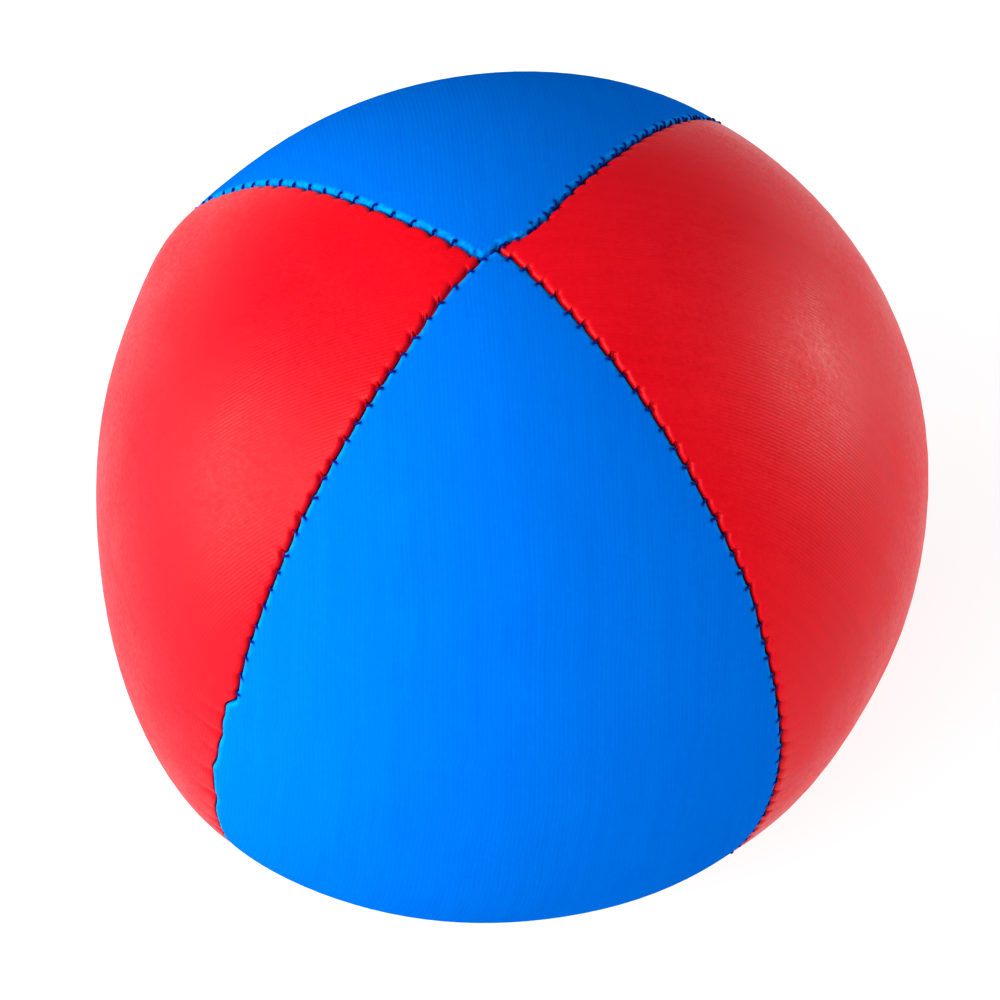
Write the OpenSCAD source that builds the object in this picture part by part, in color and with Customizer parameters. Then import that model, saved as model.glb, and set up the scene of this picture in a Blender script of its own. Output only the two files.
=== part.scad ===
// Four-panel beanbag juggling ball: two blue and two red gores of stretch cloth, sewn
// inside out with an overlock seam, turned, filled with grain and closed by hand.
// The two seams of each half were sewn first, and the long seam joins the halves.
// +Z is up and the ball stands on a small settled flat, at z = 0. Units are millimetres.

/* [Ball] */
// Size across the filled ball
ball_d = 67; // [55:0.5:80]
// Width of the flat that the ball settles onto
rest_d = 12; // [8:0.5:12]

/* [Cloth] */
// Thickness of the cloth
cloth_t = 0.8; // [0.5:0.05:1.1]
// How far the turned-in seam allowance reaches below the surface
allowance = 4.5; // [3.5:0.1:6]
// Width of the valley where two rolled panel edges meet
valley_w = 1.8; // [1:0.1:2.4]
// Depth of that valley
valley_depth = 1.1; // [1.1:0.05:1.3]

/* [Seams] */
// Heading of the long seam as it leaves the top, in degrees
long_heading = 225; // [215:1:235]
// How far the long seam runs to one side of the middle
long_shift = -1.5; // [-3:0.1:3]
// Heading of the short seam on the left
left_heading = 131; // [125:1:145]
// How far the left short seam runs to one side of the middle
left_shift = 5.6; // [4.4:0.1:7]
// Heading of the short seam on the right
right_heading = 307; // [300:1:315]
// How far the right short seam runs to one side of the middle
right_shift = -3.5; // [-4:0.1:-2]

/* [Threads] */
// Thickness of the sewing thread
thread_d = 0.35; // [0.25:0.05:0.35]
// Where the hand-sewn opening starts, in degrees down the long seam
closing_from = 76; // [60:1:90]
// Where the hand-sewn opening ends
closing_to = 134; // [120:1:140]

/* [Filling] */
// Room between the filling and the cloth
filling_gap = 0.1; // [0.05:0.05:0.3]

/* [Hidden] */

BLUE = [0.01, 0.4, 0.9];
RED = [0.85, 0.08, 0.1];
THREAD_BLUE = [0.02, 0.1, 0.3];
MILLET = [0.86, 0.72, 0.42];

$fn = 96;
ball_r = ball_d / 2;
// The ball's middle stands this far above the flat.
middle_z = sqrt(ball_r * ball_r - rest_d * rest_d / 4);
// Neighbouring panels stand this far from the seam's own plane.
half_gap = 0.03;
far = 2 * ball_d;

// The needle thread shows in the valley and clears the settled flat, and the loopers run
// along the raw edges inside.
needle_depth = valley_depth - thread_d;
looper_depth = allowance + 0.75 * thread_d;
looper_side = 0.75 * cloth_t;
looper_room = 2 * thread_d;
// Threads of one seam stop this many degrees short of another seam's.
thread_clear = 4;

// ---- Shapes that the pieces share ----

// The ball inside the cloth's face by depth, with its settled flat. The sphere's own
// poles lie level, and its equator stands upright and starts at the heading.
module ball_solid(depth, heading = long_heading) {
    translate([0, 0, middle_z])
        intersection() {
            rotate([90, 0, heading])
                sphere(r = ball_r - depth);
            translate([-far, -far, depth - middle_z])
                cube(2 * far);
        }
}

// Everything on one side (1 or -1) of a seam's upright plane, beyond a margin
module beside_seam(heading, shift, side, margin) {
    rotate([0, 0, heading])
        translate([-far, side > 0 ? shift + margin : shift - margin - 2 * far, -far])
            cube(2 * far);
}

// A ring round the ball along a seam, made by turning the 2D shape given as a child.
// In that shape x is the distance from the ball's middle line and y is across the seam.
// Degrees run from the top down the seam's heading.
module along_seam(heading, shift, from, to) {
    translate([0, 0, middle_z])
        rotate([0, 0, heading])
            rotate([0, -90, -90])
                translate([0, 0, shift])
                    rotate_extrude(start = from, angle = to - from)
                        children();
}

// Radius of the circle that a seam's plane cuts from the ball at some depth
function seam_r(shift, depth) = sqrt(pow(ball_r - depth, 2) - shift * shift);

// The valley between two rolled edges, with convex flanks
module valley(heading, shift) {
    top = seam_r(shift, 0);
    brim = top + 0.3;
    knee = top - 0.35 * valley_depth;
    along_seam(heading, shift, 0, 360)
        polygon([
            [brim, -0.6 * valley_w],
            [knee, -0.28 * valley_w],
            [top - valley_depth, 0],
            [knee, 0.28 * valley_w],
            [brim, 0.6 * valley_w]
        ]);
}

// A thread's plain run along a seam
module thread_run(heading, shift, depth, aside, r, from, to) {
    along_seam(heading, shift, from, to)
        translate([seam_r(shift, depth), aside])
            circle(r = r, $fn = 24);
}

// ---- Cloth ----

// One gore with its turned-in seam allowance. It lies on the given side of the long
// seam, and on the given side of its own half's short seam.
module panel(long_side, short_heading, short_shift, short_side) {
    long_arm = long_side == short_side ? long_heading + 180 : long_heading;
    difference() {
        intersection() {
            ball_solid(0, long_arm);
            beside_seam(long_heading, long_shift, long_side, half_gap);
            beside_seam(short_heading, short_shift, short_side, half_gap);
        }
        intersection() {
            ball_solid(cloth_t, long_arm);
            beside_seam(long_heading, long_shift, long_side, half_gap + cloth_t);
            beside_seam(short_heading, short_shift, short_side, half_gap + cloth_t);
        }
        ball_solid(allowance, long_arm);
        valley(long_heading, long_shift);
        valley(short_heading, short_shift);
    }
}

module panel_blue_front() {
    color(BLUE) panel(1, right_heading, right_shift, -1);
}

module panel_red_right() {
    color(RED) panel(1, right_heading, right_shift, 1);
}

module panel_blue_back() {
    color(BLUE) panel(-1, left_heading, left_shift, -1);
}

module panel_red_left() {
    color(RED) panel(-1, left_heading, left_shift, 1);
}

// ---- Threads ----

// The turn, in degrees from the top, at which a short seam meets the long one
function meeting_turn(heading, shift, depth, up) =
    let (
        across = long_heading - heading,
        along = (shift * cos(across) - long_shift) / sin(across),
        turn = asin(along / seam_r(shift, depth))
    )
    up ? turn : 180 - turn;

module short_seam_thread(heading, shift, depth, aside) {
    color(THREAD_BLUE)
        thread_run(
            heading, shift, depth, aside, thread_d / 2,
            meeting_turn(heading, shift, depth, true) + thread_clear,
            meeting_turn(heading, shift, depth, false) - thread_clear
        );
}

// The long seam's thread goes all the way round from one end of the opening to the other.
module long_seam_thread(depth, aside) {
    color(THREAD_BLUE)
        thread_run(
            long_heading, long_shift, depth, aside, thread_d / 2,
            closing_to + thread_clear / 2, closing_from - thread_clear / 2 + 360
        );
}

module right_seam_needle_thread() {
    short_seam_thread(right_heading, right_shift, needle_depth, 0);
}

module right_seam_upper_looper_thread() {
    short_seam_thread(right_heading, right_shift, looper_depth, looper_side);
}

module right_seam_lower_looper_thread() {
    short_seam_thread(right_heading, right_shift, looper_depth, -looper_side);
}

module left_seam_needle_thread() {
    short_seam_thread(left_heading, left_shift, needle_depth, 0);
}

module left_seam_upper_looper_thread() {
    short_seam_thread(left_heading, left_shift, looper_depth, looper_side);
}

module left_seam_lower_looper_thread() {
    short_seam_thread(left_heading, left_shift, looper_depth, -looper_side);
}

module long_seam_needle_thread() {
    long_seam_thread(needle_depth, 0);
}

module long_seam_upper_looper_thread() {
    long_seam_thread(looper_depth, looper_side);
}

module long_seam_lower_looper_thread() {
    long_seam_thread(looper_depth, -looper_side);
}

// The hand sewing that closes the opening
module closing_thread() {
    color(THREAD_BLUE)
        thread_run(
            long_heading, long_shift, needle_depth, 0, thread_d / 2, closing_from, closing_to
        );
}

// ---- Filling ----

// What one panel leaves free inside the ball, between its seam allowances
module room_behind_panel(long_side, short_heading, short_shift, short_side) {
    margin = half_gap + cloth_t + filling_gap;
    intersection() {
        ball_solid(cloth_t + filling_gap);
        beside_seam(long_heading, long_shift, long_side, margin);
        beside_seam(short_heading, short_shift, short_side, margin);
    }
}

module filling() {
    color(MILLET)
        union() {
            ball_solid(allowance + looper_room);
            room_behind_panel(1, right_heading, right_shift, -1);
            room_behind_panel(1, right_heading, right_shift, 1);
            room_behind_panel(-1, left_heading, left_shift, -1);
            room_behind_panel(-1, left_heading, left_shift, 1);
        }
}

panel_blue_front();
panel_red_right();
panel_blue_back();
panel_red_left();
right_seam_needle_thread();
right_seam_upper_looper_thread();
right_seam_lower_looper_thread();
left_seam_needle_thread();
left_seam_upper_looper_thread();
left_seam_lower_looper_thread();
long_seam_needle_thread();
long_seam_upper_looper_thread();
long_seam_lower_looper_thread();
closing_thread();
filling();
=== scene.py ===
# %% [markdown]
# # A four-panel beanbag juggling ball
# The real ball is four gores of shiny stretch knit, two blue and two red, sewn together
# inside out with an overlock machine, turned through an opening, filled with millet and
# closed by hand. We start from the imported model, because every piece has to lie where its
# CAD node lies. The ball has no moving part, so everything rides on the one body "root".

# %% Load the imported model
import math

import bpy
import numpy as np
from mathutils import Matrix, Vector


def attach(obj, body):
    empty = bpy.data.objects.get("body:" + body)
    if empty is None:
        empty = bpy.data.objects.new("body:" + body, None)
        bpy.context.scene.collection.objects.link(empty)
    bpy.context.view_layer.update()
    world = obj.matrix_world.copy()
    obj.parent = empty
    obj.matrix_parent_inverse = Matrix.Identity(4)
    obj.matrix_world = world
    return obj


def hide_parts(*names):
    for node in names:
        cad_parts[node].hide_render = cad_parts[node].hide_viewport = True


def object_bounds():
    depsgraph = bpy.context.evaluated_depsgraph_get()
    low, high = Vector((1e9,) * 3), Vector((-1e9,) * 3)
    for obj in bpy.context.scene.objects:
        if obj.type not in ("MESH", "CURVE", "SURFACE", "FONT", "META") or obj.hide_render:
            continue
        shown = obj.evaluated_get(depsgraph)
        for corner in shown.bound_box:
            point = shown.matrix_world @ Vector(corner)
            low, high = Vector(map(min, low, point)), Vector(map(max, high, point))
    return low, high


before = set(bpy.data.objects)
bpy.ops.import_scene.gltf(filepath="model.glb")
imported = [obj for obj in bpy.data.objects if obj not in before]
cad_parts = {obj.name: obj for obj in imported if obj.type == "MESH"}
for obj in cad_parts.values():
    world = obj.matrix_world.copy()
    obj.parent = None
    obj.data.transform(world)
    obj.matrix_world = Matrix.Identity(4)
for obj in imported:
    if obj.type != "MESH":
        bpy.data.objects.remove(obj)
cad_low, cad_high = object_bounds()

# %% [markdown]
# ## Sizes
# Everything is in metres, but a sewer thinks in millimetres, so `MM` turns one into the
# other. The ball's size and the height of its middle come from the CAD box.

# %% Sizes of the ball, its cloth and its stitches
MM = 0.001
BALL_RADIUS = (cad_high.y - cad_low.y) / 2
MIDDLE_HEIGHT = cad_high.z - BALL_RADIUS
MIDDLE = np.array([0.0, 0.0, MIDDLE_HEIGHT])

CLOTH = 0.8 * MM
# Half the gap between two panels, and the radius of the rolled edge beside it
HALF_GAP = 0.07 * MM
ROLL = 0.4 * MM
STITCH_PITCH = 1.6 * MM
LEFT_PITCH = 1.9 * MM
THREAD_RADIUS = 0.09 * MM

print("ball radius", round(BALL_RADIUS / MM, 2), "mm, middle at", round(MIDDLE_HEIGHT / MM, 2))

# %% [markdown]
# ## Camera
# The camera stands before the blue front panel and looks down at the ball from about 53
# degrees. It is six ball widths away with a long lens, so the outline stays nearly round.
# It is tipped a few degrees to one side, and the ball sits a hair right of the middle.

# %% Place the camera
CAMERA_HEADING = math.radians(-14.35)
CAMERA_RISE = math.radians(52.89)
CAMERA_ROLL = math.radians(7.32)
CAMERA_DISTANCE = 12 * BALL_RADIUS
LENS = 181.14
SENSOR = 36.0
AIM_RIGHT = -0.59 * MM
AIM_UP = -0.16 * MM

towards_camera = Vector((
    math.sin(CAMERA_HEADING) * math.cos(CAMERA_RISE),
    -math.cos(CAMERA_HEADING) * math.cos(CAMERA_RISE),
    math.sin(CAMERA_RISE),
))
level_right = Vector((math.cos(CAMERA_HEADING), math.sin(CAMERA_HEADING), 0.0))
level_up = towards_camera.cross(level_right)
camera_right = level_right * math.cos(CAMERA_ROLL) + level_up * math.sin(CAMERA_ROLL)
camera_up = towards_camera.cross(camera_right)


def add_object(name, data):
    piece = bpy.data.objects.new(name, data)
    bpy.context.collection.objects.link(piece)
    return piece


camera_data = bpy.data.cameras.new("catalogue_camera")
camera_data.lens = LENS
camera_data.sensor_width = SENSOR
camera_data.clip_start = 0.01
camera_data.clip_end = 20.0
camera = add_object("catalogue_camera", camera_data)
camera_place = (
    Vector(MIDDLE) + towards_camera * CAMERA_DISTANCE
    + camera_right * AIM_RIGHT + camera_up * AIM_UP
)
camera_turn = Matrix((camera_right, camera_up, towards_camera)).transposed().to_4x4()
camera.matrix_world = Matrix.Translation(camera_place) @ camera_turn
bpy.context.scene.camera = camera
print("camera at", [round(x, 3) for x in camera_place])

# %% [markdown]
# ## The shape of the filled ball
# A bag of four gores filled with grain is not a true sphere. From above it is slightly
# square, because the seams hold it. The grain has settled unevenly, which stretches it
# one way, flattens it another and leaves a few soft lumps, and it stands on a small
# flat. One function says how far the cloth is from the middle in any direction, and
# every piece below uses it, so they always fit.

# %% How far the cloth lies from the ball's middle
SQUARENESS = 0.0146
SQUARE_TURN = math.radians(-0.9)
# Heading and rise in degrees, and the change as a part of the radius
STRETCHES = (
    (43.0, 28.3, 0.030),
    (-64.7, 29.4, -0.032),
)
# Heading, rise and spread in degrees, and height in millimetres
LUMPS = (
    (-1, 11, 20, 0.50), (35, 35, 16, -0.36), (143, 22, 9, 0.62), (-178, -4, 20, -0.48),
    (-143, -25, 15, 0.52), (-37, -11, 13, -0.36), (-73, -28, 12, 0.15),
)
FLAT_SOFTNESS = 0.15 * MM
# This many softnesses above the floor, the flat no longer counts.
FLAT_REACH = 30.0


def aim(heading, rise):
    """The unit direction with this heading and rise, in degrees."""
    heading, rise = math.radians(heading), math.radians(rise)
    level = math.cos(rise)
    return np.array([level * math.cos(heading), level * math.sin(heading), math.sin(rise)])


def unit(vectors):
    return vectors / np.linalg.norm(vectors, axis=-1, keepdims=True)


def surface_radius(directions):
    """Distance from the ball's middle to the cloth's face, for unit directions."""
    across = np.clip(1.0 - directions[..., 2] ** 2, 0.0, 1.0)
    heading = np.arctan2(directions[..., 1], directions[..., 0])
    swell = -SQUARENESS * across ** 2 * np.cos(4.0 * (heading - SQUARE_TURN))
    for turn, rise, share in STRETCHES:
        swell = swell + share * (directions @ aim(turn, rise)) ** 2
    radius = BALL_RADIUS * (1.0 + swell)
    for turn, rise, spread, height in LUMPS:
        away = np.degrees(np.arccos(np.clip(directions @ aim(turn, rise), -1.0, 1.0)))
        radius = radius + height * MM * np.exp(-(away / spread) ** 2)
    down = np.clip(-directions[..., 2], 0.05, None)
    to_floor = MIDDLE_HEIGHT / down
    spare = (to_floor - radius) / FLAT_SOFTNESS
    bounded = np.clip(spare, -2.0 * FLAT_REACH, FLAT_REACH)
    rounded = to_floor - FLAT_SOFTNESS * np.log1p(np.exp(bounded))
    return np.where(spare < FLAT_REACH, rounded, radius)


print("top", round(float(surface_radius(aim(0, 90)) / MM), 2),
      "front", round(float(surface_radius(aim(-90, 0)) / MM), 2))

# %% [markdown]
# ## The three seams
# One long seam runs right round the ball, and two short ones run from it down the left
# and the right. Each is close to a circle, a little to one side of the ball's middle. A
# seam is kept as a dense line of directions, and the machine's stitches sit at even
# steps along it. At each stitch the thread pulls a small notch, always into the red
# cloth, so the line between the colours is jogged and not smooth.

# %% Where the seams run
# Heading in degrees, and how far the seam runs to one side as a part of the radius
LEFT_SEAM = (131.0, 0.166)
RIGHT_SEAM = (306.7, -0.104)
LONG_SEAM_FRONT = (225.8, -0.073)
LONG_SEAM_BACK = (224.2, -0.017)
# Degrees down the long seam's front, where the opening starts and ends
HAND_CLOSED = (78.0, 134.0)
# Degrees down the seam, and how far it strays to its side there, in millimetres
LEFT_STRAY = (
    (-10, -0.8), (0, -0.8), (8, -0.5), (16, -0.15), (26, -0.15), (36, -0.45),
    (44, -0.75), (52, -0.95), (60, -1.3), (68, -1.6), (78, -1.6), (100, -0.9), (130, 0.0),
)
RIGHT_STRAY = (
    (0, 0.2), (20, 0.2), (40, 0.1), (50, 0.2), (57, 0.4), (64, 0.1), (75, 0.25),
    (85, 0.4), (100, 0.3), (115, 0.2), (135, 0.0),
)
LONG_STRAY = (
    (-120, 0.0), (-90, -0.4), (-66, -0.9), (-56, -0.9), (-46, -0.7), (-36, -0.5),
    (-20, -0.25), (-9, -0.2), (-3, 0.05), (2, 0.25), (8, 0.2), (14, -0.25), (22, -0.25),
    (35, -0.35), (48, -0.4), (60, -0.2), (70, -0.1), (75, 0.1), (78, 0.3), (78.8, -0.55),
    (84, -0.1), (88, -0.3), (92, -0.55), (98, -0.3), (104, -0.35), (112, -0.4),
    (130, -0.2), (150, 0.0),
)

# %% One seam's line and its stitches
LINE_STEP = 0.05 * MM
# The jog's size, how sharply it starts at a stitch, and how long it takes to fade
JOG = 0.34 * MM
JOG_START = 0.05 * MM
JOG_LENGTH = 0.42 * MM
# The blue edge's part of the jog; the red edge gives way by all of it
BLUE_SHARE = 0.5
# How far a stitch may lie from its even place, as a part of the pitch
STITCH_WANDER = 0.12
# This far before a stitch the colour line has settled again.
BEFORE_STITCH = 0.2 * MM
HAND_WAVE = 0.05 * MM
# Over this length the machine's sewing changes into the hand sewing.
HAND_BLEND = 0.8 * MM
SMOOTH_WINDOW = np.hanning(121)


class Seam:
    """One seam's line over the ball, and what its stitches do to the cloth."""

    def __init__(self, turns, headings, shifts, stray, seed, pitch=STITCH_PITCH):
        stray_turns, stray_sizes = np.array(stray).T
        strayed = np.interp(np.degrees(turns), stray_turns, stray_sizes, left=0.0, right=0.0)
        strayed = np.convolve(strayed, SMOOTH_WINDOW / SMOOTH_WINDOW.sum(), mode="same")
        shifts = shifts + strayed * MM / BALL_RADIUS
        ahead = np.stack([np.cos(headings), np.sin(headings), 0 * headings], axis=1)
        aside = np.stack([-np.sin(headings), np.cos(headings), 0 * headings], axis=1)
        reach = np.sqrt(1.0 - shifts ** 2)[:, None]
        line = np.cos(turns)[:, None] * np.array([0.0, 0.0, 1.0]) + np.sin(turns)[:, None] * ahead
        line = reach * line + shifts[:, None] * aside
        points = line * surface_radius(line)[:, None]
        length = np.linalg.norm(np.diff(points, axis=0), axis=1)
        length = np.concatenate(([0.0], np.cumsum(length)))
        self.along = np.arange(0.0, length[-1], LINE_STEP)
        self.turns = np.interp(self.along, length, turns)
        line = np.stack([np.interp(self.along, length, line[:, k]) for k in range(3)], axis=1)
        self.line = unit(line)
        self.ahead = unit(np.gradient(self.line, axis=0))
        self.side = unit(np.cross(self.line, self.ahead))
        self.seed = seed
        self.stitch_reach = 1.0
        self.pitch = pitch
        self.stitch_count = int(length[-1] / pitch) + 2
        self.closing = (1e9, 1e9)
        self.set_luck()

    def set_luck(self):
        """Six random numbers from -1 to 1 for each stitch."""
        luck = np.random.default_rng(self.seed)
        self.luck = luck.uniform(-1.0, 1.0, (self.stitch_count, 6))

    def go_round(self, circuit):
        """Makes the stitches of a seam that goes right round come out even."""
        self.stitch_count = int(round(circuit / STITCH_PITCH))
        self.pitch = circuit / self.stitch_count
        self.set_luck()

    def place_of_turn(self, turn):
        return float(np.interp(turn, self.turns, self.along))

    def turn_of_place(self, place):
        return np.interp(place, self.along, self.turns)

    def at(self, values, place):
        where = np.clip(place / LINE_STEP, 0, len(self.along) - 1.001)
        low = where.astype(int)
        part = (where - low)[..., None]
        return values[low] * (1.0 - part) + values[low + 1] * part

    def stitch_luck(self, number, kind):
        return self.luck[number.astype(int) % self.stitch_count, kind]

    def stitch_place(self, number):
        """Where a stitch lies along the seam."""
        return (number + STITCH_WANDER * self.stitch_luck(number, 0)) * self.pitch

    def stitch_size(self, number):
        """How far a stitch reaches from the seam, as a part of the usual reach."""
        return self.stitch_reach * (1.0 + 0.3 * self.stitch_luck(number, 4))

    def hand_sewn(self, place):
        """1 where the seam was closed by hand and 0 where a machine sewed it."""
        start, end = self.closing
        inside = np.minimum(place - start, end - place)
        return np.clip(0.5 + inside / HAND_BLEND, 0.0, 1.0)

    def to_red(self, place):
        """1 where the red panel is on the seam's own side, and -1 where it is not."""
        return np.ones_like(place)

    def jog(self, place, side=None):
        """How far the colour line lies to the seam's side at a place along it.

        At a stitch the red edge gives way further than the blue one, which opens a hole.
        """
        number = np.round(place / self.pitch)
        moved = 0.0
        for near in (-1, 0, 1):
            stitch = number + near
            past = place - self.stitch_place(stitch)
            size = 1.0 + 0.4 * self.stitch_luck(stitch, 1)
            started = 0.5 + 0.5 * np.tanh(past / JOG_START)
            faded = np.exp(-(np.clip(past, 0.0, None) / JOG_LENGTH) ** 1.5)
            moved = moved + size * started * faded
        to_red = self.to_red(place)
        share = 0.75 if side is None else np.where(side * to_red > 0, 1.0, BLUE_SHARE)
        machine = JOG * (share * moved - 0.25) * to_red
        wave = np.sin(place / (0.48 * MM) + 1.3) + 1.4 * np.sin(place / (0.95 * MM))
        by_hand = HAND_WAVE * wave
        hand = self.hand_sewn(place)
        return machine * (1.0 - hand) + by_hand * hand


class LongSeam(Seam):
    def to_red(self, place):
        """The red panel changes sides where the seam passes the top."""
        turn = self.turn_of_place(place)
        return -np.tanh(turn / math.radians(1.5))


# %% Make the three seams


def make_short_seam(heading_and_shift, stray, seed, pitch=STITCH_PITCH):
    turns = np.radians(np.linspace(-25.0, 205.0, 12000))
    heading, shift = heading_and_shift
    headings = np.full_like(turns, math.radians(heading))
    return Seam(turns, headings, np.full_like(turns, shift), stray, seed, pitch)


def make_long_seam():
    turns = np.radians(np.linspace(-205.0, 205.0, 20000))
    mix = 0.5 - 0.5 * np.tanh(np.sin(turns - math.radians(3.0)) / 0.055)
    heading = LONG_SEAM_FRONT[0] * (1.0 - mix) + LONG_SEAM_BACK[0] * mix
    shift = LONG_SEAM_FRONT[1] * (1.0 - mix) + LONG_SEAM_BACK[1] * mix
    seam = LongSeam(turns, np.radians(heading), shift, LONG_STRAY, 11)
    seam.go_round(seam.place_of_turn(math.pi) - seam.place_of_turn(-math.pi))
    seam.closing = tuple(seam.place_of_turn(math.radians(x)) for x in HAND_CLOSED)
    return seam


left_seam = make_short_seam(LEFT_SEAM, LEFT_STRAY, 21, LEFT_PITCH)
left_seam.stitch_reach = 0.7
right_seam = make_short_seam(RIGHT_SEAM, RIGHT_STRAY, 31)
long_seam = make_long_seam()
print("stitches round the long seam:", long_seam.stitch_count)

# %% [markdown]
# ## Where the seams meet
# The short seam of each half was sewn first and the long seam joined the halves, so each
# short seam ends on the long one, at the top and again underneath. The two halves did not
# meet quite point to point: their tips sit about 2 mm apart along the long seam.

# %% Find the tips of the panels


def meeting(short, heading_and_shift, top):
    """Places along the long seam and the short seam where they cross."""
    heading = heading_and_shift[0]
    pole = 0.0 if top else math.pi
    aside = aim(heading + 90.0, 0.0)
    shift = short.at(short.line, short.place_of_turn(pole)) @ aside
    beyond = long_seam.line @ aside - shift
    near_pole = long_seam.line[:, 2] > 0.9 if top else long_seam.line[:, 2] < -0.9
    wide = long_seam.turns > -math.radians(90.0)
    crossing = np.nonzero((beyond[:-1] * beyond[1:] <= 0) & near_pole[:-1] & wide[:-1])[0][0]
    part = beyond[crossing] / (beyond[crossing] - beyond[crossing + 1])
    on_long = long_seam.along[crossing] + part * LINE_STEP
    tip = long_seam.line[crossing]
    turn = math.atan2(tip @ aim(heading, 0.0), tip[2]) % (2.0 * math.pi)
    turn = turn - 2.0 * math.pi if turn > math.pi * 1.2 else turn
    return on_long, short.place_of_turn(turn)


circuit = long_seam.pitch * long_seam.stitch_count
right_top, right_seam_top = meeting(right_seam, RIGHT_SEAM, True)
right_end, right_seam_end = meeting(right_seam, RIGHT_SEAM, False)
left_top, left_seam_top = meeting(left_seam, LEFT_SEAM, True)
left_end, left_seam_end = meeting(left_seam, LEFT_SEAM, False)
print("tips apart at the top by", round(abs(right_top - left_top) / MM, 2), "mm and underneath by",
      round(abs(right_end - left_end) / MM, 2), "mm")

# %% [markdown]
# ## How the cloth dips into a seam
# Beside a seam the cloth rolls over in a tight quarter turn and then goes down into the
# ball as the seam allowance. Round that roll there is a broad soft valley, because the
# seam pulls inwards. Each machine stitch adds a small dimple, and its needle thread goes
# down through a hole in the blue cloth. Along the part that was closed by hand the
# stitches are further apart and tighter, so the red cloth puckers.

# %% Depth of the cloth's face beside a seam
VALLEY = 0.12 * MM
VALLEY_REACH = 2.6 * MM
DIMPLE = 0.06 * MM
DIMPLE_REACH = 0.35 * MM
DIMPLE_LENGTH = 0.36 * MM
BLUE_DIMPLE = 0.45
PUCKER = 0.3 * MM
PUCKER_REACH = 0.9 * MM
BLUE_PUCKER = 0.35
HOLE_REACH = 0.34 * MM
HOLE_RADIUS = 0.15 * MM
HOLE_AHEAD = 0.04 * MM


def roll_depth(distance, roll=ROLL):
    """How deep the rolled edge is at a distance from the seam."""
    inwards = np.clip(distance - HALF_GAP, 0.0, roll)
    return roll - np.sqrt(np.clip(roll ** 2 - (roll - inwards) ** 2, 0.0, None))


def soft_dip(seam, place, distance, side):
    """Valley, dimples and puckers beside a seam, without the rolled edge."""
    number = np.round(place / seam.pitch)
    near_stitch = np.exp(-((place - seam.stitch_place(number)) / DIMPLE_LENGTH) ** 2)
    strength = 1.0 + 0.4 * seam.stitch_luck(number, 2)
    on_red = side * seam.to_red(place) > 0
    redness = np.where(on_red, 1.0, BLUE_DIMPLE)
    dimple = DIMPLE * strength * redness * near_stitch * np.exp(-distance / DIMPLE_REACH)
    hand = seam.hand_sewn(place)
    sway = np.sin(place / (0.42 * MM) + 0.4 + 1.1 * np.sin(place / (2.1 * MM)))
    fold = 0.6 + 0.4 * np.sin(place / (1.3 * MM) + 2.0)
    pull = np.exp(-distance / PUCKER_REACH) * (0.5 + 0.5 * sway) ** 4 * fold
    pucker = PUCKER * pull * np.where(on_red, 1.0, BLUE_PUCKER)
    valley = VALLEY * np.exp(-distance / VALLEY_REACH)
    return valley + dimple * (1.0 - hand) + pucker * hand


def needle_hole_shade(seam, place, lateral):
    """Painted shade of a needle hole: 1 in the middle of the hole where the needle thread goes
    down, and 0 away from it.
    """
    number = np.round(place / seam.pitch)
    middle = seam.stitch_place(number)
    blue_side = -np.sign(seam.to_red(middle))
    hole = blue_side * HOLE_REACH * seam.stitch_size(number) + seam.jog(middle - BEFORE_STITCH)
    away = ((place - middle - HOLE_AHEAD) ** 2 + (lateral - hole) ** 2) / HOLE_RADIUS ** 2
    strength = 0.75 + 0.25 * seam.stitch_luck(number, 5)
    return np.exp(-away) * (1.0 - seam.hand_sewn(place)) * strength


def seam_position(seam, place, lateral, depth):
    """A point beside a seam: along it, to its side, and below the ball's plain surface."""
    place = np.asarray(place, dtype=float)
    line = seam.at(seam.line, place)
    side = seam.at(seam.side, place)
    direction = unit(line + side * (np.asarray(lateral) / BALL_RADIUS)[..., None])
    return MIDDLE + direction * (surface_radius(direction) - depth)[..., None]


# %% [markdown]
# ## The four panels
# Each panel is one sheet of cloth with a turned-in edge all round. The filled ball pulls
# it tight, and what matters is the crisp roll and the dimples at each stitch, finer than
# a cloth simulation would give in the time. So a panel is built row by row from tip to
# tip: every row starts down inside on one seam allowance, comes up over the rolled edge,
# crosses the ball and goes down the other side. A second layer gives it its thickness.

# %% Columns of a panel
ROWS = 790
FLANGE_DEPTHS = np.array([4.5, 2.4, 1.0]) * MM
ROLL_ANGLES = np.radians([90, 72, 55, 39, 24, 10, 0])
FACE_DISTANCES = MM * np.array([
    0.08, 0.17, 0.27, 0.40, 0.58, 0.85, 1.25, 1.8, 2.5, 3.3, 4.3,
])
MIDDLE_COLUMNS = 21
# Half the width that the two edges' columns need before they are squeezed
MIDDLE_START = 6.0 * MM
INNER_CORNER = 0.45 * MM
# The inner layer's own turned-in part starts this far down.
INNER_TOP = 1.45 * MM


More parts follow.
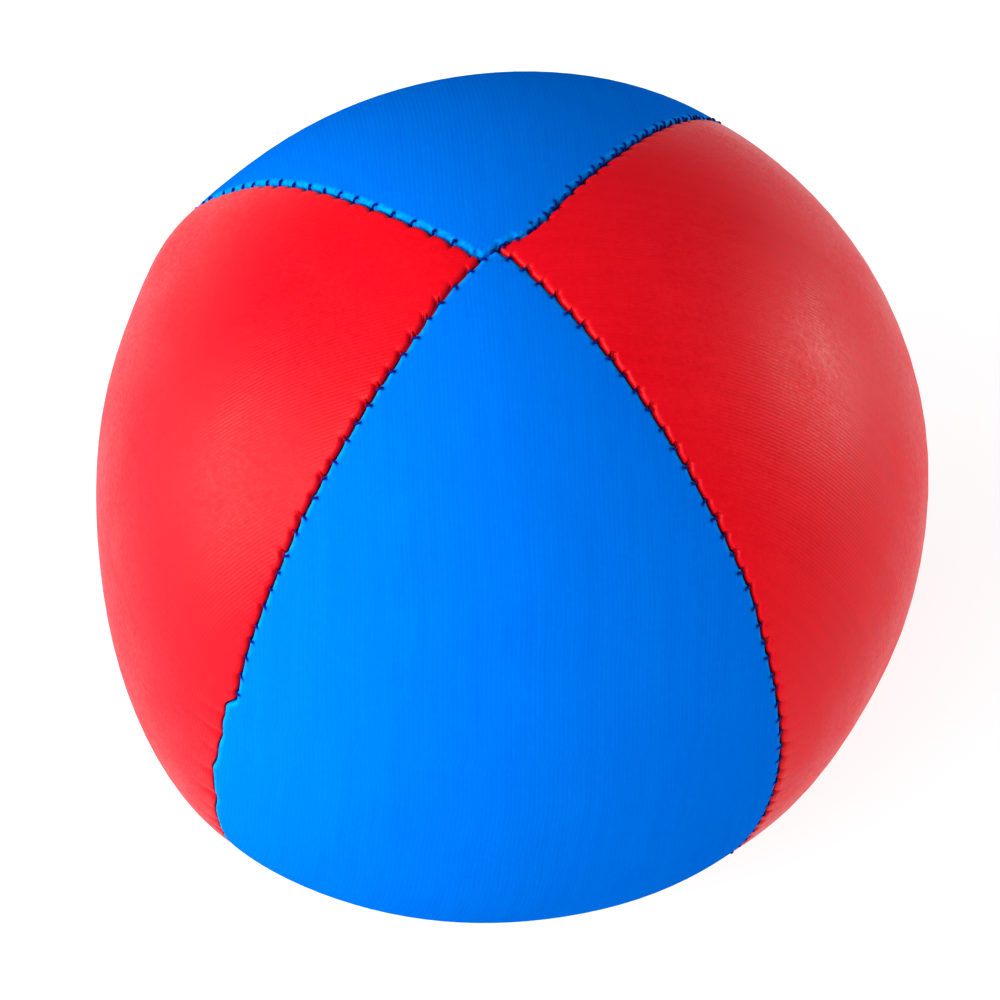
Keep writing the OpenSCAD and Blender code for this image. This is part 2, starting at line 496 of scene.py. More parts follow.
def edge_columns():
    """Distance from the seam and depth inside it, for one edge: face, then inner side."""
    flange = np.full(len(FLANGE_DEPTHS), HALF_GAP)
    rolled = HALF_GAP + ROLL * (1.0 - np.sin(ROLL_ANGLES))
    face = HALF_GAP + ROLL + FACE_DISTANCES
    distance = np.concatenate((flange, rolled, face))
    down = np.concatenate((FLANGE_DEPTHS, 0.0 * rolled, 0.0 * face))
    inner_flange = np.full(len(FLANGE_DEPTHS), HALF_GAP + CLOTH)
    inner_rolled = HALF_GAP + CLOTH + INNER_CORNER * (1.0 - np.sin(ROLL_ANGLES))
    push = CLOTH + INNER_CORNER - ROLL
    inner_face = face + push * np.exp(-FACE_DISTANCES / MM)
    inner_distance = np.concatenate((inner_flange, inner_rolled, inner_face))
    inner_corner = CLOTH + INNER_CORNER * (1.0 - np.cos(ROLL_ANGLES))
    inner_down = np.concatenate((
        np.maximum(FLANGE_DEPTHS, INNER_TOP), inner_corner, np.full(len(face), CLOTH)
    ))
    return distance, down, inner_distance, inner_down


EDGE_DISTANCE, EDGE_DOWN, INNER_DISTANCE, INNER_DOWN = edge_columns()
print("columns in a row:", 2 * len(EDGE_DISTANCE) + MIDDLE_COLUMNS)

# %% Rows of a panel
# Rows stop this part of a seam's length short of the panel's tips.
TIP_INSET = 0.004
# A row that meets its seam at a slant counts as at least this square to it.
LEAST_SQUARE = 0.35
# Below this half width, in the tips, the jog fades away.
JOG_FADE = 1.2 * MM


def row_places(first, last):
    """Where the rows end along one seam."""
    share = np.linspace(0.0, 1.0, ROWS)
    return first + (last - first) * (TIP_INSET + (1.0 - 2.0 * TIP_INSET) * share)


def panel_rows(edges):
    """The rows' ends and widths, and how far each column is along them, for both layers."""
    places = [row_places(first, last) for _, first, last, _ in edges]
    lines = [edge[0].at(edge[0].line, place) for edge, place in zip(edges, places)]
    angle = np.arccos(np.clip(np.sum(lines[0] * lines[1], axis=1), -1.0, 1.0))
    width = angle * surface_radius(unit(lines[0] + lines[1]))
    square, jog = [], []
    for edge, place, line, other in zip(edges, places, lines, lines[::-1]):
        seam, side = edge[0], edge[3]
        way = unit(other - line * np.cos(angle)[:, None])
        square.append(np.abs(np.sum(way * seam.at(seam.side, place), axis=1)))
        jog.append(side * seam.jog(place, side) / square[-1])
    half = width * np.clip(np.minimum(*square), LEAST_SQUARE, 1.0) / 2.0
    narrow = np.minimum(1.0, half / MIDDLE_START)
    fade = np.clip(half / JOG_FADE, 0.0, 1.0)
    start, end = jog[0] * fade, width - jog[1] * fade
    layers = []
    for distances in (EDGE_DISTANCE, INNER_DISTANCE):
        from_a = start[:, None] + (narrow / square[0])[:, None] * distances[None, :]
        from_b = end[:, None] - (narrow / square[1])[:, None] * distances[None, ::-1]
        share = np.linspace(0.0, 1.0, MIDDLE_COLUMNS + 2)[1:-1]
        low, high = from_a[:, -1:], from_b[:, :1]
        between = low + (high - low) * share[None, :]
        layers.append(np.concatenate((from_a, between, from_b), axis=1))
    return angle, width, *lines, layers


# %% Depth of every point on a panel


def seam_coordinates(seam, directions, first, last):
    """Place along a seam and signed distance to its side, for many directions."""
    low = int(max(0, (first - 3 * MM) / LINE_STEP))
    high = int(min(len(seam.along), (last + 3 * MM) / LINE_STEP))
    chosen = slice(low, high, 6)
    flat = directions.reshape(-1, 3)
    line, ahead, side = seam.line[chosen], seam.ahead[chosen], seam.side[chosen]
    nearest = np.argmax(flat @ line.T, axis=1)
    away = (flat - line[nearest]) * surface_radius(flat)[:, None]
    place = seam.along[chosen][nearest] + np.sum(away * ahead[nearest], axis=1)
    away = (flat - seam.at(seam.line, place)) * surface_radius(flat)[:, None]
    lateral = np.sum(away * seam.at(seam.side, place), axis=1)
    shape = directions.shape[:-1]
    return place.reshape(shape), lateral.reshape(shape)


def row_directions(reach, angle, width, line_a, line_b):
    """Directions of points that lie some way along rows from one seam to the other."""
    part = reach / width[:, None]
    sine = np.sin(angle)[:, None]
    weight_a = np.sin((1.0 - part) * angle[:, None]) / sine
    weight_b = np.sin(part * angle[:, None]) / sine
    return unit(weight_a[..., None] * line_a[:, None, :] + weight_b[..., None] * line_b[:, None, :])


def join_depths(first, second):
    """The deeper of two dips, rounded where they are equal."""
    power = 4.0
    return (first ** power + second ** power + 1e-30) ** (1.0 / power)


def panel_layers(edges):
    """Points of the face and the inner layer, what the cloth carries, and places across."""
    angle, width, line_a, line_b, (face, inner) = panel_rows(edges)
    blank = np.zeros(MIDDLE_COLUMNS)
    down = np.concatenate((EDGE_DOWN, blank, EDGE_DOWN[::-1]))
    inner_down = np.concatenate((INNER_DOWN, blank + CLOTH, INNER_DOWN[::-1]))
    positions = []
    for reach, extra in ((face, down), (inner, inner_down)):
        directions = row_directions(reach, angle, width, line_a, line_b)
        depth, hole, nearest, rolls = 0.0, 0.0, np.inf, []
        for seam, first, last, side in edges:
            spot, lateral = seam_coordinates(seam, directions, *sorted((first, last)))
            distance = np.clip(side * (lateral - seam.jog(spot, side)), 0.0, None)
            depth = depth + soft_dip(seam, spot, distance, side)
            rolls.append(roll_depth(distance, ROLL * (1.0 - 0.5 * seam.hand_sewn(spot))))
            # Painted shade of the needle holes, summed over the two seams.
            hole = hole + needle_hole_shade(seam, spot, lateral)
            nearest = np.minimum(nearest, distance)
        if reach is face:
            marks = (nearest, hole)
            depth = depth + np.maximum(join_depths(*rolls), extra[None, :])
        else:
            depth = depth + extra[None, :]
        positions.append(MIDDLE + directions * (surface_radius(directions) - depth)[..., None])
    return positions, marks, face - width[:, None] / 2.0


# %% Turn a panel's layers into a closed sheet


def closed_sheet(name, layers, cloth_place, hole):
    """A mesh of a face layer and an inner layer, joined round their edges."""
    rows, columns = layers[0].shape[:2]
    points = np.concatenate([layer.reshape(-1, 3) for layer in layers])
    grid = np.arange(rows * columns).reshape(rows, columns)
    inner = grid + rows * columns
    faces = []

    def strip(*corners):
        faces.append(np.stack([corner.ravel() for corner in corners], axis=1))

    strip(grid[:-1, :-1], grid[1:, :-1], grid[1:, 1:], grid[:-1, 1:])
    strip(inner[:-1, :-1], inner[:-1, 1:], inner[1:, 1:], inner[1:, :-1])
    strip(grid[:-1, 0], inner[:-1, 0], inner[1:, 0], grid[1:, 0])
    strip(grid[:-1, -1], grid[1:, -1], inner[1:, -1], inner[:-1, -1])
    strip(grid[0, :-1], grid[0, 1:], inner[0, 1:], inner[0, :-1])
    strip(grid[-1, :-1], inner[-1, :-1], inner[-1, 1:], grid[-1, 1:])
    quads = np.concatenate(faces)
    corners = points[quads[:, :3]]
    normal = np.cross(corners[:, 1] - corners[:, 0], corners[:, 2] - corners[:, 0])
    outwards = corners[:, 0] - MIDDLE
    count = (rows - 1) * (columns - 1)
    if np.sum(normal[:count] * outwards[:count]) < 0:
        quads = quads[:, ::-1]
    mesh = bpy.data.meshes.new(name)
    mesh.from_pydata(points.tolist(), [], quads.tolist())
    mesh.shade_smooth()
    place = mesh.attributes.new("cloth_place", "FLOAT_VECTOR", "POINT")
    place.data.foreach_set("vector", np.tile(cloth_place.reshape(-1, 3), (2, 1)).ravel())
    # Each face point carries the painted shade of its needle hole.
    mark = mesh.attributes.new("needle_hole_shade", "FLOAT", "POINT")
    mark.data.foreach_set("value", np.concatenate((hole.ravel(), 0.0 * hole.ravel())))
    mesh.update()
    return add_object(name, mesh)


def make_panel(name, edges):
    layers, (nearest, hole), across = panel_layers(edges)
    middle_column = layers[0].shape[1] // 2
    spine = layers[0][:, middle_column]
    step = np.concatenate(([0.0], np.linalg.norm(np.diff(spine, axis=0), axis=1)))
    along = np.repeat(np.cumsum(step)[:, None], layers[0].shape[1], axis=1)
    cloth_place = np.stack([across / MM, along / MM, nearest / MM], axis=-1)
    piece = closed_sheet(name, layers, cloth_place, np.clip(hole, 0.0, 1.0))
    print(name, "faces", len(piece.data.polygons))
    return piece


# %% Make the four panels
right_span = (right_seam, right_seam_top, right_seam_end)
left_span = (left_seam, left_seam_top, left_seam_end)
# Each panel's two edges: the seam, where it starts and ends, and on which side it lies
PANEL_EDGES = {
    "blue_front_panel": ((long_seam, right_top, right_end, 1.0), (*right_span, -1.0)),
    "red_right_panel": ((*right_span, 1.0), (long_seam, right_top, right_end - circuit, 1.0)),
    "blue_back_panel": ((long_seam, left_top, left_end - circuit, -1.0), (*left_span, -1.0)),
    "red_left_panel": ((*left_span, 1.0), (long_seam, left_top, left_end, -1.0)),
}
panels = {name: make_panel(name, edges) for name, edges in PANEL_EDGES.items()}

# %% [markdown]
# ## Sewing thread
# A thread is a limp round strand, so each one is a curve with a round section, turned
# into a mesh. The needle thread runs along the bottom of the valley. At every stitch it
# comes up over the blue edge as a short slanted bar and goes down through the blue cloth.

# %% Turn a path of points into a thread


def thread_piece(name, path, swell=None):
    curve = bpy.data.curves.new(name, "CURVE")
    curve.dimensions = "3D"
    curve.bevel_depth = THREAD_RADIUS
    curve.bevel_resolution = 1
    curve.use_fill_caps = True
    spline = curve.splines.new("POLY")
    spline.points.add(len(path) - 1)
    with_weight = np.concatenate((path, np.ones((len(path), 1))), axis=1)
    spline.points.foreach_set("co", with_weight.ravel())
    if swell is not None:
        spline.points.foreach_set("radius", np.asarray(swell, dtype=float))
    piece = add_object(name, curve)
    bpy.ops.object.select_all(action="DESELECT")
    bpy.context.view_layer.objects.active = piece
    piece.select_set(True)
    bpy.ops.object.convert(target="MESH")
    piece = bpy.context.view_layer.objects.active
    piece.data.shade_smooth()
    return piece


# %% Path of a needle thread
LEVEL_WITHIN = 0.2 * MM


def face_depth(seam, place, lateral):
    """Depth of the cloth's face beside a seam, held level over the gap itself."""
    beside = lateral - seam.jog(place)
    distance = np.maximum(np.abs(beside), LEVEL_WITHIN)
    return roll_depth(distance) + soft_dip(seam, place, distance, np.sign(beside))


# Along the seam, towards the blue side and below the cloth's face, in millimetres, for
# one stitch: from inside the red edge, over the blue edge and down through the blue cloth
NEEDLE_STITCH = np.array([
    (0.14, -0.16, 0.50), (0.12, -0.06, 0.22), (0.10, 0.03, 0.04), (0.07, 0.13, -0.02),
    (0.03, 0.24, -0.02), (0.00, 0.32, 0.05), (0.00, 0.35, 0.40),
])
NEEDLE_SWELL = (1.3, 1.3, 1.25, 1.15, 1.05, 1.0, 1.0)
# Back inside, as parts of the way to the next stitch, and how deep
BETWEEN_STITCHES = np.array([0.6, 0.85])
BETWEEN_DEPTH = 1.05 * MM
# The half of the long seam behind the top was sewn loosely, and each stitch there shows a
# second strand, this part of the pitch further on
LOOSE_BEFORE = math.radians(6.0)
SECOND_STRAND = 0.45


def one_stitch(seam, number, shift, size):
    """One strand over the blue edge: points on it, from the seam to the needle hole."""
    middle = seam.stitch_place(number)
    blue_side = -float(seam.to_red(middle))
    stitch = NEEDLE_STITCH * MM
    slant = 1.0 + 2.0 * seam.stitch_luck(number, 3) * (1.0 if shift == 0 else -1.5)
    place = middle + shift * seam.pitch + stitch[:, 0] * slant
    lateral = blue_side * stitch[:, 1] * size + seam.jog(np.array([middle - BEFORE_STITCH]))
    depth = face_depth(seam, place, lateral) + stitch[:, 2]
    return seam_position(seam, place, lateral, depth)


def needle_path(seam, first, last):
    """Points on a needle thread, and how thick it is at each."""
    numbers = np.arange(math.ceil(first / seam.pitch), math.floor(last / seam.pitch) + 1)
    path, swell = [], []
    for number in numbers:
        number = np.array(float(number))
        middle = seam.stitch_place(number)
        size = seam.stitch_size(number)
        path.append(one_stitch(seam, number, 0.0, size))
        swell.extend(NEEDLE_SWELL)
        if seam is long_seam and seam.turn_of_place(middle) < LOOSE_BEFORE:
            # A short first strand has a long second one beside it.
            path.append(one_stitch(seam, number, SECOND_STRAND, 1.45 - 0.75 * size))
            swell.extend(NEEDLE_SWELL)
        back = middle + BETWEEN_STITCHES * seam.pitch
        path.append(seam_position(seam, back, np.zeros(2), np.full(2, BETWEEN_DEPTH)))
        swell.extend((1.0, 1.0))
    return np.concatenate(path), swell


# %% Needle threads of the three seams
TIP_CLEAR = 0.9 * MM
# Each seam with the places where its machine sewing starts and ends
SEWN = {
    "right_seam": (right_seam, right_seam_top + TIP_CLEAR, right_seam_end - TIP_CLEAR),
    "left_seam": (left_seam, left_seam_top + TIP_CLEAR, left_seam_end - TIP_CLEAR),
    "long_seam": (long_seam, long_seam.closing[1] - circuit, long_seam.closing[0]),
}
needle_threads = {}
for name, (seam, first, last) in SEWN.items():
    piece = thread_piece(name + "_needle_stitches", *needle_path(seam, first, last))
    needle_threads[name] = piece
    print(piece.name, "faces", len(piece.data.polygons))

# %% [markdown]
# Inside the ball the two looper threads of the overlock stitch wrap the seam allowance.
# Each zigzags on its own side between the needle line and the raw edge, and the two lock
# together at the raw edge.

# %% Looper threads round the raw edges
LOOPER_SIDE = HALF_GAP + CLOTH + THREAD_RADIUS
# Part of a stitch along the seam, part of the side distance, and depth in millimetres
LOOPER_STITCH = np.array([
    (0.00, 1.00, 1.9), (0.12, 1.00, 3.1), (0.22, 0.95, 4.3), (0.30, 0.45, 4.75),
    (0.50, 0.10, 4.82), (0.70, 0.45, 4.75), (0.78, 0.95, 4.3), (0.88, 1.00, 3.1),
])


def looper_path(seam, first, last, side):
    numbers = np.arange(math.ceil(first / seam.pitch), math.floor(last / seam.pitch))
    shift = 0.5 if side < 0 else 0.0
    place = (numbers[:, None] + shift + LOOPER_STITCH[None, :, 0]) * seam.pitch
    lateral = np.broadcast_to(side * LOOPER_SIDE * LOOPER_STITCH[None, :, 1], place.shape)
    depth = np.broadcast_to(LOOPER_STITCH[None, :, 2] * MM, place.shape)
    place, lateral, depth = place.ravel(), lateral.ravel(), depth.ravel()
    lateral = lateral + seam.jog(place)
    return seam_position(seam, place, lateral, depth)


looper_threads = {}
for name, (seam, first, last) in SEWN.items():
    for kind, side in (("upper", 1.0), ("lower", -1.0)):
        path = looper_path(seam, first + 2 * MM, last - 2 * MM, side)
        piece = thread_piece(name + "_" + kind + "_looper_loops", path)
        looper_threads[name, kind] = piece
        print(piece.name, "faces", len(piece.data.polygons))

# %% [markdown]
# The opening was closed with a ladder stitch: the thread runs inside one folded edge,
# crosses straight over, and runs inside the other. Pulled tight it hardly shows.

# %% Closing thread
LADDER_STEP = 3.0 * MM
LADDER_SIDE = 0.3 * MM
# Part of a step along the seam, side, and depth in millimetres
LADDER_STITCH = ((0.0, -1, 0.75), (0.0, 0, 0.62), (0.04, 1, 0.75), (0.5, 1, 1.05))


def closing_path():
    place, lateral, depth = [], [], []
    side = 1.0
    for crossing in np.arange(*long_seam.closing, LADDER_STEP):
        for part, across, down in LADDER_STITCH:
            place.append(crossing + part * LADDER_STEP)
            lateral.append(side * across * LADDER_SIDE)
            depth.append(down * MM)
        side = -side
    place, lateral = np.array(place), np.array(lateral)
    return seam_position(long_seam, place, lateral + long_seam.jog(place), np.array(depth))


closing_piece = thread_piece("closing_ladder_stitches", closing_path())
print(closing_piece.name, "faces", len(closing_piece.data.polygons))

# %% [markdown]
# ## The millet
# The filling is loose grain. Modelling every grain would take tens of thousands, so the
# two outer layers are single grains that lie against the cloth between the seam
# allowances, and one lumpy body stands for everything deeper. One grain is modelled and
# the rest are copies of it, scattered evenly and each turned its own way.

# %% Model one grain
GRAIN = 1.05 * MM


def take_mesh():
    """Points and faces of the piece that was just added, which is then removed."""
    piece = bpy.context.view_layer.objects.active
    points = np.array([v.co[:] for v in piece.data.vertices])
    faces = np.array([p.vertices[:] for p in piece.data.polygons])
    bpy.data.objects.remove(piece)
    return points, faces


bpy.ops.mesh.primitive_ico_sphere_add(subdivisions=1, radius=GRAIN, location=(0, 0, 0))
bpy.ops.object.mode_set(mode="EDIT")
bpy.ops.mesh.select_all(action="SELECT")
bpy.ops.transform.resize(value=(1.0, 0.92, 0.8))
bpy.ops.object.mode_set(mode="OBJECT")
grain_points, grain_faces = take_mesh()
print("points on one grain:", len(grain_points))

# %% Scatter the grains and add the body below them
# Depths of the two layers below the cloth, in millimetres
GRAIN_LAYERS = (0.35, 2.15)
GRAIN_COUNT = 2300
SEAM_CLEAR = 2.15 * MM
SEAM_SPANS = (left_span, right_span, (long_seam, long_seam.along[0], long_seam.along[-1]))
BODY_DEPTH = 5.25 * MM
BODY_BUMP = 0.5 * MM
BUMP_COUNT = 1500
BUMP_REACH = 2.9


def even_directions(count, turn):
    """Directions spread evenly over the ball on one long spiral."""
    number = np.arange(count) + 0.5
    rise = 1.0 - 2.0 * number / count
    heading = number * math.pi * (3.0 - math.sqrt(5.0)) + turn
    level = np.sqrt(1.0 - rise ** 2)
    return np.stack([level * np.cos(heading), level * np.sin(heading), rise], axis=1)


def distance_to_seams(directions):
    nearest = np.full(len(directions), 1.0)
    for seam, first, last in SEAM_SPANS:
        chosen = (seam.along >= first) & (seam.along <= last)
        closest = np.max(directions @ seam.line[chosen][::10].T, axis=1)
        nearest = np.minimum(nearest, np.arccos(np.clip(closest, -1, 1)) * BALL_RADIUS)
    return nearest


def turned(points, luck):
    """The grain's points turned at random."""
    axis = unit(luck.normal(size=3))
    turn = Matrix.Rotation(luck.uniform(0.0, 6.28), 3, Vector(axis))
    return points @ np.array(turn).T * luck.uniform(0.88, 1.06)


luck = np.random.default_rng(5)
filling_points, filling_faces = [], []
total = 0
for layer, depth in enumerate(GRAIN_LAYERS):
    directions = even_directions(GRAIN_COUNT, 0.7 * layer)
    directions = unit(directions + luck.normal(scale=0.006, size=directions.shape))
    directions = directions[distance_to_seams(directions) > SEAM_CLEAR]
    radius = surface_radius(directions) - CLOTH - GRAIN - depth * MM - VALLEY
    for direction, reach in zip(directions, radius):
        middle = MIDDLE + direction * (reach - luck.uniform(0.0, 0.25) * MM)
        filling_points.append(turned(grain_points, luck) + middle)
        filling_faces.append(grain_faces + total)
        total += len(grain_points)

bpy.ops.mesh.primitive_ico_sphere_add(subdivisions=6, radius=1.0, location=(0, 0, 0))
body_points, body_faces = take_mesh()
body_points = unit(body_points)
bumps = even_directions(BUMP_COUNT, 0.2)
closest = np.max(body_points @ bumps.T, axis=1)
apart = np.degrees(np.arccos(np.clip(closest, -1, 1)))
depth = BODY_DEPTH + BODY_BUMP * np.clip(apart / BUMP_REACH, 0, 1) ** 2
body_points = MIDDLE + body_points * (surface_radius(body_points) - depth)[:, None]
filling_points.append(body_points)
filling_faces.append(body_faces + total)

filling_mesh = bpy.data.meshes.new("millet_filling")
filling_mesh.from_pydata(
    np.concatenate(filling_points).tolist(), [], np.concatenate(filling_faces).tolist()
)
filling_mesh.shade_smooth()
filling_piece = add_object("millet_filling", filling_mesh)
print("grains:", len(filling_points) - 1, "faces:", len(filling_mesh.polygons))

# %% [markdown]
# ## The knit's pattern
# The cloth is a fine stretch knit. Its ribs, which a knitter calls wales, run from tip to
# tip, and along each rib the loops repeat as small slanted courses. Both are too small
# for the mesh, so they are a pattern in the material. It reads the place on the flat
# cloth that each panel carries, in millimetres, so the ribs follow the panel.

# %% Node group for the knit


def set_inputs(node, values):
    for label, value in values.items():
        node.inputs[label].default_value = value


def maths(tree, operation, first, second=None, third=None, clamp=False):
    node = tree.nodes.new("ShaderNodeMath")
    node.operation = operation
    node.use_clamp = clamp
    for socket, value in zip(node.inputs, (first, second, third)):
        if value is None:
            continue
        if isinstance(value, (int, float)):
            socket.default_value = value
        else:
            tree.links.new(value, socket)
    return node.outputs[0]


def noise(tree, vector, scale, detail, roughness=0.5):
    node = tree.nodes.new("ShaderNodeTexNoise")
    set_inputs(node, {"Scale": scale, "Detail": detail, "Roughness": roughness})
    tree.links.new(vector, node.inputs["Vector"])
    return node.outputs["Fac"]


# Length of one course of loops, in millimetres
COURSE = 0.3


def knit_group():
    group = bpy.data.node_groups.new("Knit ribs", "ShaderNodeTree")
    number = "NodeSocketFloat"
    for label, size in (("Rib", 0.36), ("Slant", 0.5)):
        socket = group.interface.new_socket(name=label, in_out="INPUT", socket_type=number)
        socket.default_value = size
    for label in ("Height", "Gap", "Cloud", "Streak", "Edge", "Grain"):
        group.interface.new_socket(name=label, in_out="OUTPUT", socket_type=number)
    nodes, links = group.nodes, group.links
    given = nodes.new("NodeGroupInput")
    result = nodes.new("NodeGroupOutput")
    place = nodes.new("ShaderNodeAttribute")
    place.attribute_name = "cloth_place"
    cloth = place.outputs["Vector"]
    wobble = noise(group, cloth, 0.35, 2.0)
    apart = nodes.new("ShaderNodeSeparateXYZ")
    links.new(cloth, apart.inputs[0])
    links.new(apart.outputs["Z"], result.inputs["Edge"])
    sway = maths(group, "MULTIPLY_ADD", wobble, 0.12, -0.06)
    across = maths(group, "ADD", apart.outputs["X"], sway)
    rib = maths(group, "DIVIDE", across, given.outputs["Rib"])
    in_rib = maths(group, "FRACT", rib)
    from_middle = maths(group, "ABSOLUTE", maths(group, "SUBTRACT", in_rib, 0.5))
    ridge = maths(group, "COSINE", maths(group, "MULTIPLY", from_middle, math.pi))
    slanted = maths(group, "MULTIPLY", from_middle, given.outputs["Slant"])
    along = maths(group, "ADD", apart.outputs["Y"], slanted)
    course = maths(group, "DIVIDE", along, COURSE)
    wave = maths(group, "SINE", maths(group, "MULTIPLY", course, 2.0 * math.pi))
    loops = maths(group, "MULTIPLY", wave, 0.22)
    height = maths(group, "MULTIPLY_ADD", loops, ridge, ridge)
    links.new(height, result.inputs["Height"])
    # The Gap output is the mask for the painted shade between ribs.
    rib_gap_shade = maths(group, "SUBTRACT", 1.0, ridge)
    links.new(maths(group, "POWER", rib_gap_shade, 2.0, clamp=True), result.inputs["Gap"])
    links.new(noise(group, cloth, 0.12, 5.0, 0.6), result.inputs["Cloud"])
    links.new(noise(group, cloth, 2.2, 2.0), result.inputs["Grain"])
    stretched = nodes.new("ShaderNodeVectorMath")
    stretched.operation = "MULTIPLY"
    stretched.inputs[1].default_value = (1.3, 0.05, 0.0)
    links.new(cloth, stretched.inputs[0])
    links.new(noise(group, stretched.outputs[0], 1.0, 3.0), result.inputs["Streak"])
    return group


KNIT = knit_group()

# %% [markdown]
# ## Cloth, thread and grain materials
# The knit is a synthetic stretch cloth. The red has a weak, warm, patchy satin shine, and
# the blue has none. Painted shade makes the colour a little darker in the gaps between ribs,
# and the colour varies slightly over the panel. Over the rolled edge beside a seam a painted
# highlight lightens the cloth in patches, and painted shade darkens the needle holes.

# %% Cloth materials


def mix_colour(tree, mask, first, second):
    node = tree.nodes.new("ShaderNodeMix")
    node.data_type = "RGBA"
    tree.links.new(mask, node.inputs["Factor"])
    for socket, value in ((node.inputs["A"], first), (node.inputs["B"], second)):
        if isinstance(value, tuple):
            socket.default_value = (*value, 1.0)
        else:
            tree.links.new(value, socket)
    return node.outputs["Result"]


def add_relief(tree, shader, height, strength, distance):
    relief = tree.nodes.new("ShaderNodeBump")
    set_inputs(relief, {"Strength": strength, "Distance": distance})
    tree.links.new(height, relief.inputs["Height"])
    tree.links.new(relief.outputs["Normal"], shader.inputs["Normal"])


def new_material(name):
    material = bpy.data.materials.new(name)
    material.use_nodes = True
    tree = material.node_tree
    return material, tree, tree.nodes["Principled BSDF"]


# Painted shade: a near-black navy that stands for the shade inside the needle holes, where the
# cloth mesh has no hole.
HOLE_SHADE_COLOUR = (0.0, 0.004, 0.05)


def cloth_material(name, colour, rib_gap_shade_colour, pale, edge_highlight, shine, gloss, ribs, rib_width, slant, bump):
    material, tree, shader = new_material(name)
    knit = tree.nodes.new("ShaderNodeGroup")
    knit.node_tree = KNIT
    set_inputs(knit, {"Rib": rib_width, "Slant": slant})
    knitted = knit.outputs
    both = maths(tree, "ADD", knitted["Cloud"], knitted["Streak"])
    all_three = maths(tree, "ADD", both, knitted["Grain"])
    cloud = maths(tree, "MULTIPLY_ADD", all_three, 1.2, -1.3, clamp=True)
    face = mix_colour(tree, cloud, colour, pale)
    # Painted shade: the gaps between ribs are darkened towards the second colour, by the ribs
    # amount.
    rib_gap_shade = maths(tree, "MULTIPLY", knitted["Gap"], ribs)
    face = mix_colour(tree, rib_gap_shade, face, rib_gap_shade_colour)
    # Painted highlight: within about 0.6 mm of a seam, over the rolled edge, the colour is mixed in
    # patches towards the lighter edge colour.
    stretched = maths(tree, "MULTIPLY_ADD", knitted["Edge"], -3.0, 1.75, clamp=True)
    patchy = maths(tree, "MULTIPLY_ADD", knitted["Grain"], 1.6, -0.4, clamp=True)
    face = mix_colour(tree, maths(tree, "MULTIPLY", stretched, patchy), face, edge_highlight)
    # Painted shade: the needle holes are darkened towards this navy.
    hole = tree.nodes.new("ShaderNodeAttribute")
    hole.attribute_name = "needle_hole_shade"
    hole_shade = maths(tree, "MULTIPLY", hole.outputs["Fac"], 1.3, clamp=True)
    face = mix_colour(tree, hole_shade, face, HOLE_SHADE_COLOUR)
    tree.links.new(face, shader.inputs["Base Color"])
    uneven = maths(tree, "ADD", knitted["Cloud"], knitted["Grain"])
    rough = maths(tree, "MULTIPLY_ADD", uneven, 0.35, 0.08)
    tree.links.new(rough, shader.inputs["Roughness"])
    lumpy = maths(tree, "MULTIPLY_ADD", knitted["Cloud"], 6.0, knitted["Height"])
    add_relief(tree, shader, lumpy, bump, 0.06 * MM)
    set_inputs(shader, {"Specular IOR Level": gloss, "Specular Tint": (*shine, 1.0)})
    return material


# In each cloth the second colour is painted shade for the rib gaps, and the colour for the rolled
# edges is a painted highlight.
BLUE_CLOTH = cloth_material(
    "blue_satin_knit", (0.0, 0.175, 0.70), (0.0, 0.135, 0.61), (0.0, 0.198, 0.745),
    edge_highlight=(0.0, 0.38, 0.95), shine=(0.0, 0.8, 1.0), gloss=0.0,
    ribs=0.3, rib_width=0.36, slant=0.5, bump=0.14,
)
RED_CLOTH = cloth_material(
    "red_satin_knit", (0.70, 0.0, 0.013), (0.62, 0.0, 0.010), (0.80, 0.002, 0.018),
    edge_highlight=(0.77, 0.0, 0.012), shine=(1.0, 0.84, 0.70), gloss=0.24,
    ribs=0.12, rib_width=0.29, slant=0.9, bump=0.14,
)

# %% [markdown]
# The thread is dull and a very dark blue, with fine plies. The grain is dry and slightly
# shiny, straw yellow with paler and browner grains among it.

# %% Thread and grain materials
THREAD, tree, shader = new_material("dark_blue_thread")
place = tree.nodes.new("ShaderNodeTexCoord")
ply = noise(tree, place.outputs["Object"], 9000.0, 2.0)
shade = mix_colour(tree, ply, (0.0, 0.004, 0.10), (0.0, 0.02, 0.30))
tree.links.new(shade, shader.inputs["Base Color"])
set_inputs(shader, {"Roughness": 0.5, "Specular IOR Level": 0.08})
add_relief(tree, shader, ply, 0.5, 0.03 * MM)

MILLET, tree, shader = new_material("dry_millet")
spots = tree.nodes.new("ShaderNodeTexVoronoi")
spots.inputs["Scale"].default_value = 420.0
place = tree.nodes.new("ShaderNodeTexCoord")
tree.links.new(place.outputs["Object"], spots.inputs["Vector"])
grey = tree.nodes.new("ShaderNodeRGBToBW")
tree.links.new(spots.outputs["Color"], grey.inputs[0])
shade = mix_colour(tree, grey.outputs[0], (0.55, 0.33, 0.10), (0.80, 0.60, 0.28))
tree.links.new(shade, shader.inputs["Base Color"])
shader.inputs["Roughness"].default_value = 0.45
add_relief(tree, shader, spots.outputs["Distance"], 0.4, 0.1 * MM)

# %% [markdown]
# ## Who stands for what
# Every piece rides on the ball's one body, takes one of the materials above, and hides the
# CAD node that it stands for. The four panels are sheets: each was cut as a pointed
# gore, about 58 mm wide and 108 mm long with its allowances, and stretches a little when
# the ball is filled.


def declare(piece, node, material):
    piece.data.materials.clear()
    piece.data.materials.append(material)
    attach(piece, "root")
    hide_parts(node)


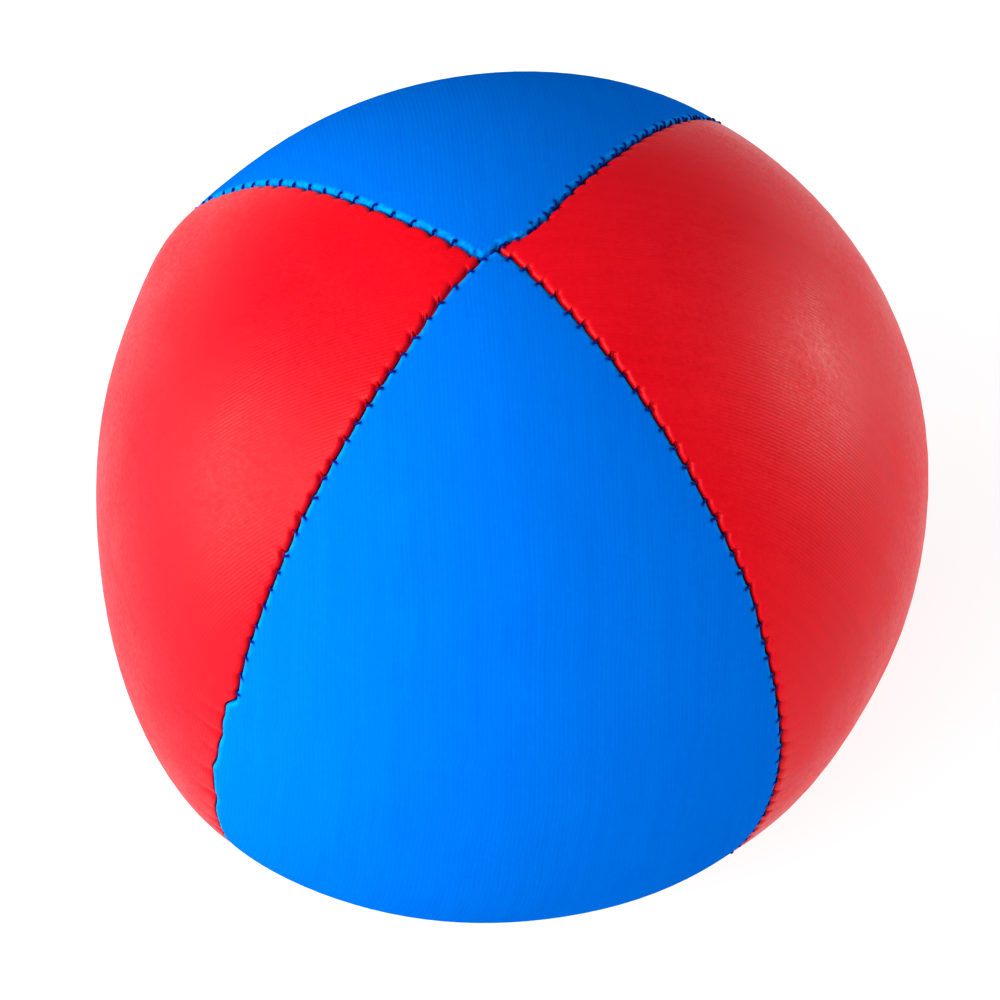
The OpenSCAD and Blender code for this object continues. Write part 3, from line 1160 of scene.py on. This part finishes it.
declare(panels["blue_front_panel"], "panel_blue_front", BLUE_CLOTH)
declare(panels["red_right_panel"], "panel_red_right", RED_CLOTH)
declare(panels["blue_back_panel"], "panel_blue_back", BLUE_CLOTH)
declare(panels["red_left_panel"], "panel_red_left", RED_CLOTH)
declare(filling_piece, "filling", MILLET)
for name in SEWN:
    declare(needle_threads[name], name + "_needle_thread", THREAD)
    for kind in ("upper", "lower"):
        node = name + "_" + kind + "_looper_thread"
        declare(looper_threads[name, kind], node, THREAD)
declare(closing_piece, "closing_thread", THREAD)

# %% [markdown]
# ## Floor and light
# A pale floor that glows enough to come out white, as the backdrop of a catalogue shot
# does. One broad soft light from the front left, a low one further round on the left, a
# low one on the right that lights the rim, and a pale surround.

# %% Floor
bpy.ops.mesh.primitive_plane_add(size=6.0, location=(0, 0, 0))
floor = bpy.context.view_layer.objects.active
floor.name = "pale_floor"
material, tree, shader = new_material("pale_floor")
set_inputs(shader, {
    "Base Color": (0.3, 0.3, 0.3, 1.0), "Roughness": 0.9,
    "Emission Color": (1.0, 1.0, 1.0, 1.0), "Emission Strength": 0.82,
})
floor.data.materials.append(material)

# %% Lights


def soft_light(name, heading, rise, distance, size, power):
    """A square light that faces the ball from a heading and a rise, in degrees."""
    data = bpy.data.lights.new(name, "AREA")
    data.shape = "SQUARE"
    data.size = size
    data.energy = power
    light = add_object(name, data)
    direction = Vector(aim(heading, rise))
    light.location = Vector(MIDDLE) + direction * distance
    light.rotation_euler = direction.to_track_quat("Z", "Y").to_euler()


soft_light("broad_light_left", 217.0, 36.0, 0.9, 0.7, 9.6)
soft_light("strip_light_left", 176.0, 12.0, 0.8, 0.4, 5.0)
soft_light("rim_light_right", 13.0, 9.0, 0.9, 0.42, 4.5)
world = bpy.data.worlds.new("pale_surround")
bpy.context.scene.world = world
world.use_nodes = True
background = world.node_tree.nodes["Background"]
set_inputs(background, {"Color": (1.0, 1.0, 1.0, 1.0), "Strength": 0.27})
bpy.context.scene.view_settings.view_transform = "Standard"
bpy.context.scene.view_settings.gamma = 0.85
